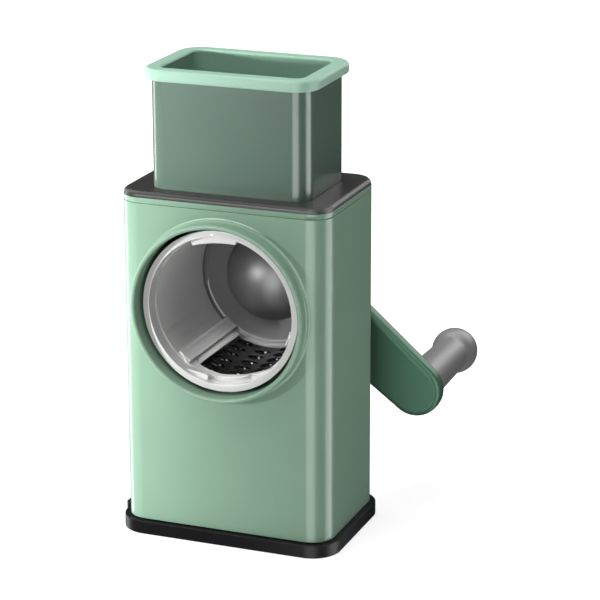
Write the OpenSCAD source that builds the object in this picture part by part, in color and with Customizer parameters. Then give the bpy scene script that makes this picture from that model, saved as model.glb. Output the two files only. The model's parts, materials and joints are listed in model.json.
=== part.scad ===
// Hand cranked drum shredder for cabbage and other vegetables, on a suction foot.
// Millimetres. X to the right, Y to the back, Z up. The origin lies on the table, under the middle of the body.

/* [Drum] */
// Outer radius of the drum's wall
drum_r = 39.2; // [35:0.1:44]
// Length of the drum from its front face to its back face
drum_len = 68.4; // [60:0.1:80]
// Thickness of the drum's plastic wall
drum_wall = 2.4; // [1.8:0.1:3]
// How far the front flange stands out past the drum's wall
flange_out = 1.6; // [1.2:0.1:2.4]
// Length of the drum's front ring behind its face
ring_len = 7; // [6:0.1:9]
// Depth of the two grip lips inside the ring's bore
lip_depth = 3.7; // [2.6:0.1:6]
// Thickness of the grip lips along the drum
lip_t = 4; // [2.6:0.1:4.6]
// Height of the ribs inside the wall
rib_h = 2; // [1:0.1:3]
// Radius of the dome over the drive socket
dome_r = 23.8; // [20:0.1:28]
// Height of the dome over the drum's back plate
dome_h = 19; // [16:0.1:22]
// Thickness of the grater sheet
sheet_t = 0.8; // [0.5:0.1:1]
// Radius of a grater hole
hole_r = 2.4; // [1.6:0.1:2.9]
// How far a tooth stands out of the sheet
tooth_h = 1; // [0.5:0.1:1.2]

/* [Mouth and chamber] */
// Gap between the drum's flange and the mouth ring
mouth_gap = 2; // [1.9:0.1:3]
// Wall of the mouth ring
mouth_wall = 2.2; // [1.6:0.1:3]
// How far the mouth ring stands out of the front face
mouth_out = 7.9; // [5:0.1:10]
// How far the drum's front stands out of the front face
drum_proud = 1.5; // [1:0.1:2.6]
// Wall of the chamber round the drum
chamber_wall = 3.3; // [2.6:0.1:4.2]
// Gap between the drum and the housing's back wall
back_room = 3.1; // [2.6:0.1:4.5]

/* [Housing] */
// Wall of the housing
wall = 2.4; // [1.8:0.1:3]
// Radius of the housing's upright corners
body_r = 11.6; // [9:0.1:14]
// Room beside the chamber, inside the housing
side_room = 6.5; // [5:0.1:12]
// Room over the chamber, up to the housing's top edge
top_room = 4.1; // [4:0.1:10]
// Room under the chamber, for the suction drive
machine_room = 68.7; // [60:0.1:84]
// Height of the light frame under the deck
bezel_h = 2.8; // [2.2:0.1:3.6]
// Thickness of the deck
deck_h = 3; // [2.4:0.1:4]
// Radius of the deck's rounded upper edge
deck_edge = 2.2; // [1:0.1:2.3]

/* [Chute and pusher] */
// Height of the chute over the deck
chute_h = 53.8; // [42:0.1:70]
// Wall of the chute
chute_wall = 2.2; // [1.8:0.1:2.8]
// Corner radius of the chute
chute_r = 9; // [7:0.1:12]
// Gap between the pusher and the chute on each side
push_gap = 0.5; // [0.4:0.1:0.8]
// Wall of the pusher
push_wall = 2; // [1.6:0.1:2.6]
// How far the rim hangs over the chute
rim_out = 3.5; // [2.5:0.1:5]
// Height of the rim
rim_h = 5.6; // [4.6:0.1:8]

/* [Crank] */
// Distance from the shaft to the knob's axle
crank_len = 92.6; // [80:0.1:108]
// Half of the arm's width at the knob
arm_r = 14.4; // [11:0.1:16]
// Half of the arm's width at the shaft
arm_root_r = 18; // [14:0.1:20]
// Thickness of the arm
arm_t = 9.6; // [8.4:0.1:12]
// Angle of the arm under the horizontal
crank_drop = 38.8; // [0:0.1:90]
// Radius of the drive shaft
shaft_r = 6; // [5.6:0.1:7]
// Length of the knob
knob_len = 71.5; // [48:0.5:76]
// Radius of the knob's ball end
knob_r = 12.2; // [11.4:0.1:14]
// Radius of the knob's waist
knob_waist = 9.9; // [8:0.1:11]

/* [Suction foot] */
// Height of the rubber pad
pad_h = 7.2; // [6.6:0.1:9]
// How far the pad stands out round the housing
pad_out = 3; // [1:0.1:4]
// Radius of the hollow under the pad
cup_r = 31; // [27:0.1:33]
// Lift of the membrane when the lever is down
lift = 4; // [3:0.1:4.4]
// Height of the lever's axis over the table
lever_z = 58; // [54:0.1:60]
// Length of the lever from its axis to its tip
lever_len = 26; // [20:0.1:32]
// Radius of the lever's hub
lever_r = 12; // [9:0.1:13]

/* [Hidden] */
$fn = 64;
hull_fn = 32;

// Colours
sage = [0.55, 0.70, 0.60];
deep_sage = [0.25, 0.38, 0.29];
mint = [0.62, 0.80, 0.69];
grey_sage = [0.40, 0.48, 0.43];
charcoal = [0.22, 0.21, 0.21];
black = [0.07, 0.07, 0.08];
drum_grey = [0.80, 0.80, 0.79];
knob_grey = [0.52, 0.52, 0.52];
steel = [0.60, 0.60, 0.62];
dark_steel = [0.30, 0.30, 0.32];

// Overrun of cuts, clearances of fits and gaps between parts that only lie near each other
over = 0.5;
fit = 0.02;
run = 0.06;
seat = 0.1;
slack = 0.3;

// Radii round the drum's axis
flange_r = drum_r + flange_out;
mouth_r = flange_r + mouth_gap;
mouth_or = mouth_r + mouth_wall;
chamber_r = mouth_r + chamber_wall;
drum_bore = drum_r - drum_wall;
rib_r = drum_bore - rib_h;

// Depths, from the front to the back
spigot_in = 4;
body_d = drum_len - drum_proud + back_room + wall;
y_face = -body_d / 2;
y_inner = y_face + wall;
y_drum = y_face - drum_proud;
y_drum_back = y_drum + drum_len;
y_rear_inner = y_drum_back + back_room;
y_rear = body_d / 2;
y_spigot = y_inner + spigot_in;

// Widths and heights
body_w = 2 * (chamber_r + side_room + wall);
z_shell = pad_h;
axis_z = z_shell + machine_room + chamber_r;
z_top = axis_z + chamber_r + top_room;
shell_h = z_top - z_shell;
z_deck = z_top + bezel_h;
z_deck_top = z_deck + deck_h;
z_chute = z_deck_top + chute_h;

// Throat, chute and pusher
throat_in = 3.3;
chute_inset = 8.8;
throat_w = 2 * (mouth_r - throat_in);
throat_d = body_d - 2 * wall - 2 * chute_inset;
chute_w = throat_w + 2 * chute_wall;
chute_d = throat_d + 2 * chute_wall;
foot_out = 3;
foot_t = bezel_h / 2;
push_w = throat_w - 2 * push_gap;
push_d = throat_d - 2 * push_gap;
push_r = chute_r - chute_wall - push_gap;
rim_w = chute_w + 2 * rim_out;
rim_d = chute_d + 2 * rim_out;
rim_edge = 2;
rim_chamfer = 1.7;
push_under = 3.6;
push_floor = 2;
push_sole = 34;

// Bosses and screws in the housing's corners
boss_r = 4.5;
boss_inset = 7.5;
boss_h = 20;
skirt_h = 3.5;
skirt_t = 1.6;
ledge_gap = 0.7;
ledge_h = 8;
pillar_r = 3.3;
screw_r = 1.5;
screw_head_r = 2.8;
screw_head_h = 1.8;
screw_len = 12;
pass_r = screw_r + 0.1 * screw_r;
boss_x = body_w / 2 - boss_inset;
boss_y = body_d / 2 - boss_inset;
z_ledge = z_top - skirt_h - ledge_gap;
plate_t = 3.2;
z_plate = z_shell + plate_t;

// Screws that hold the chamber to the back wall, in bosses on the chamber's outside
rear_boss_r = 4;
rear_bolt_r = chamber_r + 3;
rear_boss_len = 7;
sink_h = 1.4;
rear_depth = 3.8;

// Grip lips of the drum's front ring
lip_back = 2.6;
ring_skirt = 4;
lip_top_deg = 96.5;
lip_top_half_deg = 19;
lip_low_half_deg = 37;
lip_flat_r = 60;
pocket_half_deg = 19;
pocket_t = 3;
pocket_in = 1;
half_turn_deg = 180;

// Ribs, windows and sheets of the drum
plate_back = 2;
rib_at_deg = [231.5, 340, 97];
rib_half_deg = 5.8;
corner_in = 2.4;
sheet_r = drum_r - seat - sheet_t;
cage_front = y_drum + ring_len + seat;
y_plate = y_drum_back - plate_back;
panel_front = cage_front + ring_skirt + 2 * seat;
panel_back = y_plate - slack;
panel_len = panel_back - panel_front;
window_in = 1.6;
window_in_deg = 8.5;
panel_in_deg = 3;
panel_gap_deg = 0.2;
lower_panel = [rib_at_deg[0] + panel_in_deg, rib_at_deg[1] - panel_in_deg];
upper_panel = [rib_at_deg[1] + panel_in_deg, rib_at_deg[2] + 360 - panel_in_deg];
tooth_rows = 6;
tooth_cols = 5;
tooth_wall = 0.6;
tooth_inset_deg = 15.5;
tooth_inset = 4.9;
rivet_r = 1.1;
rivet_head_r = 1.9;
rivet_head_h = 0.6;
rivet_in = 4;
rivet_in_deg = 4.4;

// Dome and drive socket
dome_t = 2.2;
socket_sink = 1;
dome_ball = (dome_r * dome_r + dome_h * dome_h) / (2 * dome_h);
socket_r = 8;
socket_foot_r = 12;
socket_foot_t = 2;
square_s = 8;
square_gap = 0.05;
y_socket = y_drum_back - socket_sink;
socket_len = dome_h - 2.5 * dome_t + plate_back - socket_sink;
socket_bolt_r = 10.1;
socket_screw_r = 1.1;
socket_head_r = 2;
socket_head_h = 1.2;

// Bearing, seal and shaft
bush_r = 9;
bush_flange_r = 13;
bush_flange = 4;
bush_boss = 1.3;
bush_front = y_rear_inner - bush_boss;
seal_r = 8;
seal_t = 2;
clip_r = 8.4;
clip_t = 0.9;
groove_depth = 0.8;
clip_from_deg = -60;
clip_to_deg = 240;
shaft_lead = 0.3;
shaft_front = y_socket + shaft_lead;
clip_front = bush_front - shaft_lead - clip_t;
bush_back = y_rear + bush_flange;
arm_gap = 0.4;
hub_boss = 2.4;
hub_r = 11;
hub_back = 4;
arm_front = bush_back + arm_gap + hub_boss;
arm_back = arm_front + arm_t;
shaft_back = bush_back + shaft_lead;
square_back = 8;
web_t = 1.6;
arm_edge = 3;
head_r = 3.8;
head_h = 2;
cap_r = 6;
cap_t = 2.4;
crank_screw_r = 2;
crank_screw_len = 12;
y_web = shaft_back + square_back + shaft_lead;
y_head = y_web + web_t;
crank_x = crank_len * cos(crank_drop);
crank_z = axis_z - crank_len * sin(crank_drop);

// Knob and axle
axle_r = 4;
axle_in = 6.4;
axle_end_gap = 7;
knob_gap = 0.3;
knob_front = arm_back + knob_gap;
knob_back = knob_front + knob_len;
knob_root = 10.4;
axle_back = knob_back - axle_end_gap;
knob_clip_r = 5;
knob_clip_t = 1;
knob_clip_gap = 0.4;
knob_clip_y = axle_back - 3 * knob_clip_t;

// Suction foot
pad_lip = 6.6;
pad_inset = 1.5;
pad_web = 2.8;
pad_corner_r = body_r + pad_out;
membrane_r = 20;
membrane_t = 1.8;
disc_r = 12;
disc_t = 2.5;
disc_boss_r = 6;
disc_boss_h = 5;
well_r = membrane_r + 1.2 * pad_inset;
tab_w = 22;
tab_out = 4;
tab_t = 6.2;
tab_z = 0.8;
tab_r = 2.5;
tab_y = -8;
plug_x = 36;
plug_y = 24;
plug_r = 3;
plug_head_r = 4.2;
plug_head_h = 1.8;
z_cup = pad_h - pad_web;
z_disc = z_cup + lift;

// Suction drive
stem_r = 4;
stem_tip_r = 3;
guide_z = 24;
guide_t = 4;
guide_w = 12;
guide_post = 4;
cam_throw = lift / 2;
cam_r = 2.5;
cam_web_r = 5;
cam_web_t = 2;
yoke_w = 9;
yoke_d = 16;
yoke_under = 10;
yoke_over = 8.5;
slot_slack = 0.6;
lever_shaft_r = 4;
bracket_t = 6;
bracket_d = 14;
bracket_x = -29;
bracket_over = 7.5;
collar_r = 6.5;
collar_t = 2;
bushing_r = 7;
bushing_len = 5;
bushing_flange_r = 9;
bushing_flange = 1.5;
lever_boss_r = 5;
lever_square = 5.6;
lever_square_len = 7.7;
lever_gap = 0.3;
lever_hub_t = 5.4;
lever_w = 24;
lever_flare = 1.8;
lever_tip_t = 4.8;
lever_tip_r = 2.2;
lever_bore_r = 4.9;
lever_bore_depth = 2.8;
lever_head_h = 1.6;
lever_head_r = 2.7;
lever_cap_t = 1;
lever_screw_len = 9;
x_side = -body_w / 2;
x_hub = x_side - bushing_flange - lever_gap;
x_hub_out = x_hub - lever_hub_t;
x_boss_in = x_side + bushing_len;

// Places its children on the drum's axis at the depth y, facing the front, with their x and y as X and Z.
module at_axis(y) translate([0, y, axis_z]) rotate([90, 0, 0]) children();

// A round rod on the drum's axis.
module rod(y0, y1, r) at_axis(y1) cylinder(h = y1 - y0, r = r);

// A tube on the drum's axis.
module tube(y0, y1, r0, r1) {
    at_axis(y1) linear_extrude(y1 - y0) difference() {
        circle(r1);
        circle(r0);
    }
}

// A part of a tube between two angles, seen from the front.
module arc_wall(y0, y1, r0, r1, a0, a1) {
    at_axis(y1) rotate([0, 0, a0]) rotate_extrude(angle = a1 - a0) translate([r0, 0])
        square([r1 - r0, y1 - y0]);
}

// A rod along X at the height of the lever's axis, moved up by dz.
module side_rod(x0, x1, r, dz = 0) {
    translate([x0, 0, lever_z + dz]) rotate([0, 90, 0]) cylinder(h = x1 - x0, r = r);
}

module rounded(w, d, r) {
    square([w - 2 * r, d], center = true);
    square([w, d - 2 * r], center = true);
    for (x = [-1, 1], y = [-1, 1]) translate([x * (w / 2 - r), y * (d / 2 - r)]) circle(r);
}

// An upright block with rounded corners, from z0 to z1.
module slab(w, d, r, z0, z1) translate([0, 0, z0]) linear_extrude(z1 - z0) rounded(w, d, r);

// The same block with its upper edge rounded, and its lower edge too where low is not zero.
module soft_slab(w, d, r, z0, z1, edge, low) {
    steps = 3;
    hull() {
        for (i = [0:steps]) let (a = 90 * i / steps, cut = edge * (1 - cos(a)), drop = edge * (1 - sin(a)))
            slab(w - 2 * cut, d - 2 * cut, r - cut, z0 + low * (1 - sin(a)), z1 - drop, $fn = hull_fn);
        if (low > 0) for (i = [0:steps]) let (a = 90 * i / steps, cut = low * (1 - cos(a)))
            slab(w - 2 * cut, d - 2 * cut, r - cut, z0 + low * (1 - sin(a)), z1 - edge, $fn = hull_fn);
    }
}

// The four corners where the screws of the housing stand.
module corners() for (x = [-1, 1], y = [-1, 1]) translate([x * boss_x, y * boss_y, 0]) children();

// The four places of the screws at the back wall.
module rear_places(y) {
    for (a = [45:90:315]) at_axis(y) rotate([0, 0, a]) translate([rear_bolt_r, 0, 0]) children();
}

module body_shell() color(sage) difference() {
    union() {
        difference() {
            slab(body_w, body_d, body_r, z_shell, z_top);
            slab(body_w - 2 * wall, body_d - 2 * wall, body_r - wall, z_shell - over, z_top + over);
        }
        corners() {
            translate([0, 0, z_plate]) cylinder(h = boss_h, r = boss_r);
            translate([0, 0, z_ledge - ledge_h]) cylinder(h = ledge_h, r = boss_r);
        }
        rod(bush_front, y_rear - wall / 2, bush_flange_r);
    }
    rod(y_face - over, y_inner + over, mouth_r + mouth_wall / 2 + seat);
    rod(bush_front - over, y_rear + over, bush_r + fit);
    side_rod(x_side - over, x_side + wall + over, bushing_r + fit);
    corners() {
        translate([0, 0, z_plate - over]) cylinder(h = screw_len + over, r = screw_r + fit);
        translate([0, 0, z_ledge - ledge_h - over]) cylinder(h = ledge_h + 2 * over, r = pass_r);
    }
    rear_places(y_rear + over) cylinder(h = wall + 2 * over, r = pass_r);
    rear_places(y_rear) cylinder(h = sink_h + seat, r1 = screw_head_r + seat, r2 = screw_r + seat);
}

module mouth_ring() color(sage) {
    bead = mouth_wall / 2;
    in = y_spigot - y_face;
    at_axis(y_spigot) rotate_extrude() {
        translate([mouth_r, 0]) square([bead, in + over]);
        translate([mouth_r, in]) square([mouth_wall, mouth_out - bead]);
        translate([mouth_r + bead, in + mouth_out - bead]) circle(bead);
    }
}

// The chamber is a barrel between the front wall and the back wall, with the throat on top of it.
module drum_chamber() color(sage) difference() {
    intersection() {
        union() {
            rod(y_inner, y_rear_inner, chamber_r);
            slab(chute_w, chute_d, chute_r, axis_z, z_top - seat);
            rear_places(y_rear_inner) cylinder(h = rear_boss_len, r = rear_boss_r);
        }
        slab(body_w - 2 * wall - 2 * seat, body_d - 2 * wall - 2 * seat, body_r - wall - seat, z_shell, z_top);
    }
    rod(y_inner - over, y_rear_inner + over, mouth_r);
    rod(y_inner - over, y_spigot + seat, mouth_r + mouth_wall / 2 + fit);
    slab(throat_w, throat_d, chute_r - chute_wall, axis_z, z_top + over);
    rear_places(y_rear_inner + over) cylinder(h = rear_depth + over, r = screw_r + fit);
}

module top_bezel() color(mint) {
    skirt_w = body_w - 2 * wall - 2 * seat;
    skirt_d = body_d - 2 * wall - 2 * seat;
    skirt_r = body_r - wall - seat;
    difference() {
        union() {
            slab(body_w, body_d, body_r, z_top, z_deck);
            slab(skirt_w, skirt_d, skirt_r, z_top - skirt_h, z_top + bezel_h / 2);
        }
        slab(chute_w + 2 * seat, chute_d + 2 * seat, chute_r + seat, z_top - over, z_deck + over);
        slab(skirt_w - 2 * skirt_t, skirt_d - 2 * skirt_t, skirt_r - skirt_t, z_top - skirt_h - over, z_top);
        slab(chute_w + 2 * foot_out + 2 * seat, chute_d + 2 * foot_out + 2 * seat, chute_r + foot_out + seat,
            z_deck - foot_t - seat, z_deck + over);
        corners() translate([0, 0, z_ledge]) cylinder(h = z_deck - z_ledge + over, r = pillar_r + seat);
    }
}

module top_plate() color(charcoal) difference() {
    union() {
        soft_slab(body_w - 2 * slack, body_d - 2 * slack, body_r - slack, z_deck, z_deck_top, deck_edge, 0);
        corners() translate([0, 0, z_ledge]) cylinder(h = z_deck - z_ledge + bezel_h / 2, r = pillar_r);
    }
    slab(chute_w + 2 * seat, chute_d + 2 * seat, chute_r + seat, z_deck - over, z_deck_top + over);
    corners() translate([0, 0, z_ledge - over])
        cylinder(h = z_deck - z_ledge + over - seat, r = screw_r + fit);
}

module feed_chute() color(grey_sage) difference() {
    union() {
        slab(chute_w, chute_d, chute_r, z_top, z_chute);
        slab(chute_w + 2 * foot_out, chute_d + 2 * foot_out, chute_r + foot_out, z_deck - foot_t, z_deck);
    }
    slab(throat_w, throat_d, chute_r - chute_wall, z_top - over, z_chute + over);
}

module pusher() color(mint) {
    z_rim = z_chute + seat;
    z_rim_top = z_rim + rim_h;
    z_low = axis_z + push_sole;
    difference() {
        union() {
            soft_slab(rim_w, rim_d, chute_r + rim_out, z_rim, z_rim_top, rim_edge, rim_edge / 2);
            slab(push_w, push_d, push_r, z_low, z_rim_top - rim_edge);
        }
        rod(-body_d, body_d, drum_r + push_under);
        difference() {
            slab(push_w - 2 * push_wall, push_d - 2 * push_wall, push_r - push_wall, z_low + push_floor,
                z_rim_top + over);
            rod(-body_d, body_d, drum_r + push_under + push_floor);
        }
        hull() {
            for (s = [0, 1]) slab(push_w - 2 * push_wall + 2 * s * rim_chamfer, push_d - 2 * push_wall
                + 2 * s * rim_chamfer, push_r - push_wall + s * rim_chamfer, z_rim_top - (2 - s) * rim_chamfer,
                z_rim_top + s * over, $fn = hull_fn);
        }
    }
}

module base_plate() color(black) {
    gap = 2 * wall + 2 * seat;
    difference() {
        union() {
            slab(body_w - gap, body_d - gap, body_r - wall - seat, z_shell, z_plate);
            for (y = [-1, 1]) translate([-guide_w / 2, y * (well_r + guide_post) - guide_post / 2, z_shell])
                cube([guide_w, guide_post, guide_z + guide_t - z_shell]);
            translate([-guide_w / 2, -well_r - guide_post, guide_z])
                cube([guide_w, 2 * (well_r + guide_post), guide_t]);
            translate([bracket_x, -bracket_d / 2, z_shell])
                cube([bracket_t, bracket_d, lever_z + bracket_over - z_shell]);
        }
        translate([0, 0, z_shell - over]) cylinder(h = plate_t + over + seat, r = well_r);
        translate([0, 0, guide_z - over]) cylinder(h = guide_t + 2 * over, r = stem_r + run);
        side_rod(bracket_x - over, bracket_x + bracket_t + over, lever_shaft_r + run);
        for (x = [-1, 1], y = [-1, 1]) translate([x * plug_x, y * plug_y, z_shell - over])
            cylinder(h = plate_t + 2 * over, r = plug_r + seat);
        corners() {
            translate([0, 0, z_shell - over]) cylinder(h = plate_t + 2 * over, r = pass_r);
            translate([0, 0, z_shell - over])
                cylinder(h = screw_head_h + seat + over, r = screw_head_r + seat);
        }
    }
}

module suction_pad() color(black) difference() {
    union() {
        slab(body_w + 2 * pad_out, body_d + 2 * pad_out, pad_corner_r, 0, pad_lip);
        slab(body_w - 2 * pad_inset, body_d - 2 * pad_inset, body_r - pad_inset, 0, pad_h);
        translate([x_side - pad_out, tab_y, tab_z]) linear_extrude(tab_t) {
            square([2 * tab_out - 2 * tab_r, tab_w], center = true);
            square([2 * tab_out, tab_w - 2 * tab_r], center = true);
            for (y = [-1, 1]) translate([tab_r - tab_out, y * (tab_w / 2 - tab_r)]) circle(tab_r);
        }
        for (x = [-1, 1], y = [-1, 1]) translate([x * plug_x, y * plug_y, 0]) {
            cylinder(h = z_plate + seat + over, r = plug_r);
            translate([0, 0, z_plate + seat]) cylinder(h = plug_head_h, r = plug_head_r);
        }
    }
    translate([0, 0, -over]) cylinder(h = z_cup + over, r = cup_r);
    cylinder(h = pad_h + over, r = membrane_r);
}

// The membrane is a cone between the pad's web and the disc.
module suction_membrane() color(black) {
    rise = z_disc - z_cup;
    rotate_extrude() polygon([[membrane_r - fit, z_cup], [membrane_r - fit, z_cup + membrane_t],
        [disc_r + fit, z_cup + rise + membrane_t], [disc_r + fit, z_cup + rise]]);
}

module pad_disc() color(black) difference() {
    translate([0, 0, z_disc]) {
        cylinder(h = disc_t, r = disc_r);
        cylinder(h = disc_t + disc_boss_h, r = disc_boss_r);
    }
    translate([0, 0, z_disc + disc_t]) cylinder(h = disc_boss_h + over, r = stem_tip_r + fit);
}

module suction_stem() color(steel) difference() {
    union() {
        translate([0, 0, z_disc + disc_t + seat]) cylinder(h = disc_boss_h, r = stem_tip_r);
        translate([0, 0, z_disc + disc_t + disc_boss_h])
            cylinder(h = lever_z - yoke_under - z_disc - disc_t - disc_boss_h + over, r = stem_r);
        translate([-yoke_w / 2, -yoke_d / 2, lever_z - yoke_under])
            cube([yoke_w, yoke_d, yoke_under + yoke_over]);
    }
    slot_z = cam_r + slot_slack;
    slot_y = cam_r + cam_throw + slack;
    translate([-yoke_w / 2 - over, -slot_y, lever_z + cam_throw - slot_z])
        cube([yoke_w + 2 * over, 2 * slot_y, 2 * slot_z]);
}

module lever_shaft() color(steel) difference() {
    union() {
        x_web = -yoke_w / 2 - slack - cam_web_t;
        side_rod(x_boss_in + seat, x_web + seat, lever_shaft_r);
        side_rod(x_web, x_web + cam_web_t, cam_web_r);
        side_rod(x_web + cam_web_t - seat, yoke_w / 2 + slack, cam_r, cam_throw);
        side_rod(x_boss_in + seat, x_boss_in + seat + collar_t, collar_r);
        translate([x_boss_in + seat + over - lever_square_len, -lever_square / 2, lever_z - lever_square / 2])
            cube([lever_square_len, lever_square, lever_square]);
    }
    side_rod(x_boss_in - lever_square_len, x_boss_in + collar_t, screw_r + fit);
}

module lever_bushing() color(black) difference() {
    union() {
        side_rod(x_side, x_boss_in, bushing_r);
        side_rod(x_side - bushing_flange, x_side, bushing_flange_r);
    }
    side_rod(x_side - bushing_flange - over, x_boss_in + over, lever_boss_r + run);
}

// The lever's side view, as points in X and Z, cut out of its plan and its front view.
module suction_lever() color(knob_grey) {
    x_tip = x_hub_out - lever_flare;
    z_tip = lever_z - lever_len;
    bend_z = lever_z - lever_r;
    difference() {
        union() {
            intersection() {
                translate([0, lever_w / 2, 0]) rotate([90, 0, 0]) linear_extrude(lever_w) union() {
                    polygon([[x_hub, lever_z + lever_r], [x_hub_out, lever_z + lever_r], [x_hub_out, bend_z],
                        [x_tip, z_tip + lever_tip_r], [x_tip, z_tip + lever_tip_r],
                        [x_tip + lever_tip_r, z_tip], [x_tip + lever_tip_t, z_tip], [x_hub, bend_z]]);
                    translate([x_tip + lever_tip_r, z_tip + lever_tip_r]) circle(lever_tip_r);
                }
                translate([x_tip - over, 0, lever_z]) rotate([0, 90, 0]) linear_extrude(body_w / 2) union() {
                    circle(lever_w / 2);
                    translate([0, -lever_w / 2]) square([lever_len, lever_w]);
                }
            }
            side_rod(x_hub - over, x_boss_in, lever_boss_r);
        }
        side_rod(x_hub_out - over, x_hub_out + lever_bore_depth, lever_bore_r + fit);
        side_rod(x_hub_out, x_boss_in, screw_r + seat);
        x_square = x_boss_in + seat - lever_square_len;
        hole = lever_square + 2 * square_gap;
        translate([x_square, -hole / 2, lever_z - hole / 2]) cube([x_boss_in + over - x_square, hole, hole]);
    }
}

module lever_screw() color(steel) {
    x_head = x_hub_out + lever_bore_depth - lever_head_h;
    side_rod(x_head, x_head + lever_head_h, lever_head_r);
    side_rod(x_head + lever_head_h - over, x_head + lever_head_h + lever_screw_len, screw_r);
}

module lever_cap() color(knob_grey) side_rod(x_hub_out, x_hub_out + lever_cap_t, lever_bore_r);

module rear_bearing() color(black) difference() {
    union() {
        rod(bush_front, y_rear + over, bush_r);
        rod(y_rear, bush_back, bush_flange_r);
    }
    rod(bush_front - over, bush_back + over, shaft_r + run);
    rod(bush_front - over, bush_front + seal_t, seal_r);
}

module shaft_seal() color(dark_steel) {
    tube(bush_front + seat, bush_front + seal_t, shaft_r + run, seal_r - fit);
}

module crank_shaft() color(steel) difference() {
    union() {
        rod(shaft_front, shaft_back, shaft_r);
        at_axis(shaft_front + over) translate([-square_s / 2, -square_s / 2, 0])
            cube([square_s, square_s, socket_len - socket_sink + shaft_lead]);
        at_axis(shaft_back + square_back) rotate([0, 0, -crank_drop])
            translate([-square_s / 2, -square_s / 2, 0]) cube([square_s, square_s, square_back + over]);
    }
    tube(clip_front - fit, clip_front + clip_t + fit, shaft_r - groove_depth, shaft_r + over);
    rod(y_web - crank_screw_len, shaft_back + square_back + over, crank_screw_r + fit);
}

// An open ring that snaps into the shaft's groove.
module shaft_clip() color(dark_steel) {
    arc_wall(clip_front, clip_front + clip_t, shaft_r - groove_depth + fit, clip_r, clip_from_deg, clip_to_deg);
}

// One end of the arm, as the layers that its hull is drawn over.
module arm_end(r, h, edge) {
    for (s = [0, 0.3, 1]) translate([0, 0, s * edge])
        cylinder(h = h - 2 * s * edge, r = r - (1 - s) * (1 - s) * edge, $fn = hull_fn);
}

module crank_arm() color(deep_sage) difference() {
    union() {
        at_axis(arm_back) rotate([0, 0, -crank_drop]) hull() {
            arm_end(arm_root_r, arm_t, arm_edge);
            translate([crank_len, 0, 0]) arm_end(arm_r, arm_t, arm_edge);
        }
        rod(arm_front - hub_boss, arm_front + arm_edge, hub_r);
        rod(arm_back - arm_edge, arm_back + hub_back, hub_r);
    }
    at_axis(y_web) rotate([0, 0, -crank_drop]) {
        hole = square_s + 2 * square_gap;
        translate([-hole / 2, -hole / 2, 0]) cube([hole, hole, y_web - shaft_back + hub_boss]);
    }
    rod(y_web - over, y_head + over, crank_screw_r + seat);
    rod(y_head, arm_back + hub_back + over, cap_r + fit);
    translate([crank_x, 0, crank_z - axis_z]) rod(arm_back - axle_in, arm_back + over, axle_r + fit);
}

module crank_screw() color(steel) {
    rod(y_head, y_head + head_h, head_r);
    rod(y_head - crank_screw_len + web_t, y_head + over, crank_screw_r);
}

module crank_cap() color(deep_sage) rod(arm_back + hub_back - cap_t, arm_back + hub_back, cap_r);

module knob_axle() color(steel) translate([crank_x, 0, crank_z - axis_z]) difference() {
    rod(arm_back - axle_in + fit, axle_back, axle_r);
    tube(knob_clip_y - fit, knob_clip_y + knob_clip_t + fit, axle_r - groove_depth, axle_r + over);
}

module knob_clip() color(dark_steel) translate([crank_x, 0, crank_z - axis_z]) {
    arc_wall(knob_clip_y, knob_clip_y + knob_clip_t, axle_r - groove_depth + fit, knob_clip_r, clip_from_deg,
        clip_to_deg);
}

// Radius of the knob's neck, at a share of its length.
function neck(t) = knob_root + (knob_waist - knob_root) * sin(180 * t);

// The knob is turned, with a neck that narrows to its middle and a ball at the far end.
module handle_knob() color(knob_grey) {
    ball_y = knob_len - knob_r;
    neck_end = ball_y - knob_r / 2;
    steps = 8;
    translate([crank_x, 0, crank_z - axis_z]) difference() {
        union() {
            at_axis(knob_front) rotate([180, 0, 0]) rotate_extrude() polygon(concat([[0, 0]],
                [for (i = [0:steps]) [neck(i / steps), neck_end * i / steps]], [[0, neck_end]]));
            translate([0, knob_front + ball_y, axis_z]) sphere(knob_r);
        }
        rod(knob_front - over, axle_back + slack, axle_r + run);
        rod(knob_clip_y - knob_clip_gap, axle_back + slack, knob_clip_r + slack);
    }
}

// A grip lip inside the front ring, with a nearly straight inner edge.
module grip_lip(angle, half) difference() {
    lip_front = y_drum + lip_back;
    lip_r = drum_r - flange_out - lip_depth;
    arc_wall(lip_front, lip_front + lip_t, lip_r, drum_r - flange_out + over, angle - half, angle + half);
    at_axis(lip_front + lip_t + over) rotate([0, 0, angle]) translate([lip_r - lip_flat_r, 0, 0])
        cylinder(h = lip_t + 2 * over, r = lip_flat_r);
}

module drum_front_ring() color(drum_grey) difference() {
    bore = drum_r - flange_out;
    low = lip_top_deg + half_turn_deg;
    lip_front = y_drum + lip_back;
    union() {
        tube(y_drum, y_drum + ring_len, bore, flange_r);
        tube(y_drum + ring_len - over, y_drum + ring_len + ring_skirt, drum_r + seat, flange_r);
        grip_lip(lip_top_deg, lip_top_half_deg);
        grip_lip(low, lip_low_half_deg);
    }
    arc_wall(lip_front - over, lip_front + pocket_t, bore - lip_depth + pocket_in, bore, low - pocket_half_deg,
        low + pocket_half_deg);
}

// Places its children at the four rivets of a sheet, looking outwards.
module rivet_places(span) {
    for (a = [span[0] + rivet_in_deg, span[1] - rivet_in_deg], y = [rivet_in, panel_len - rivet_in])
        at_axis(panel_back) rotate([0, 0, a]) translate([0, 0, y]) rotate([0, 90, 0]) children();
}

module socket_places(y) {
    for (a = [90:120:330]) at_axis(y) rotate([0, 0, a]) translate([socket_bolt_r, 0, 0]) children();
}

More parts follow.
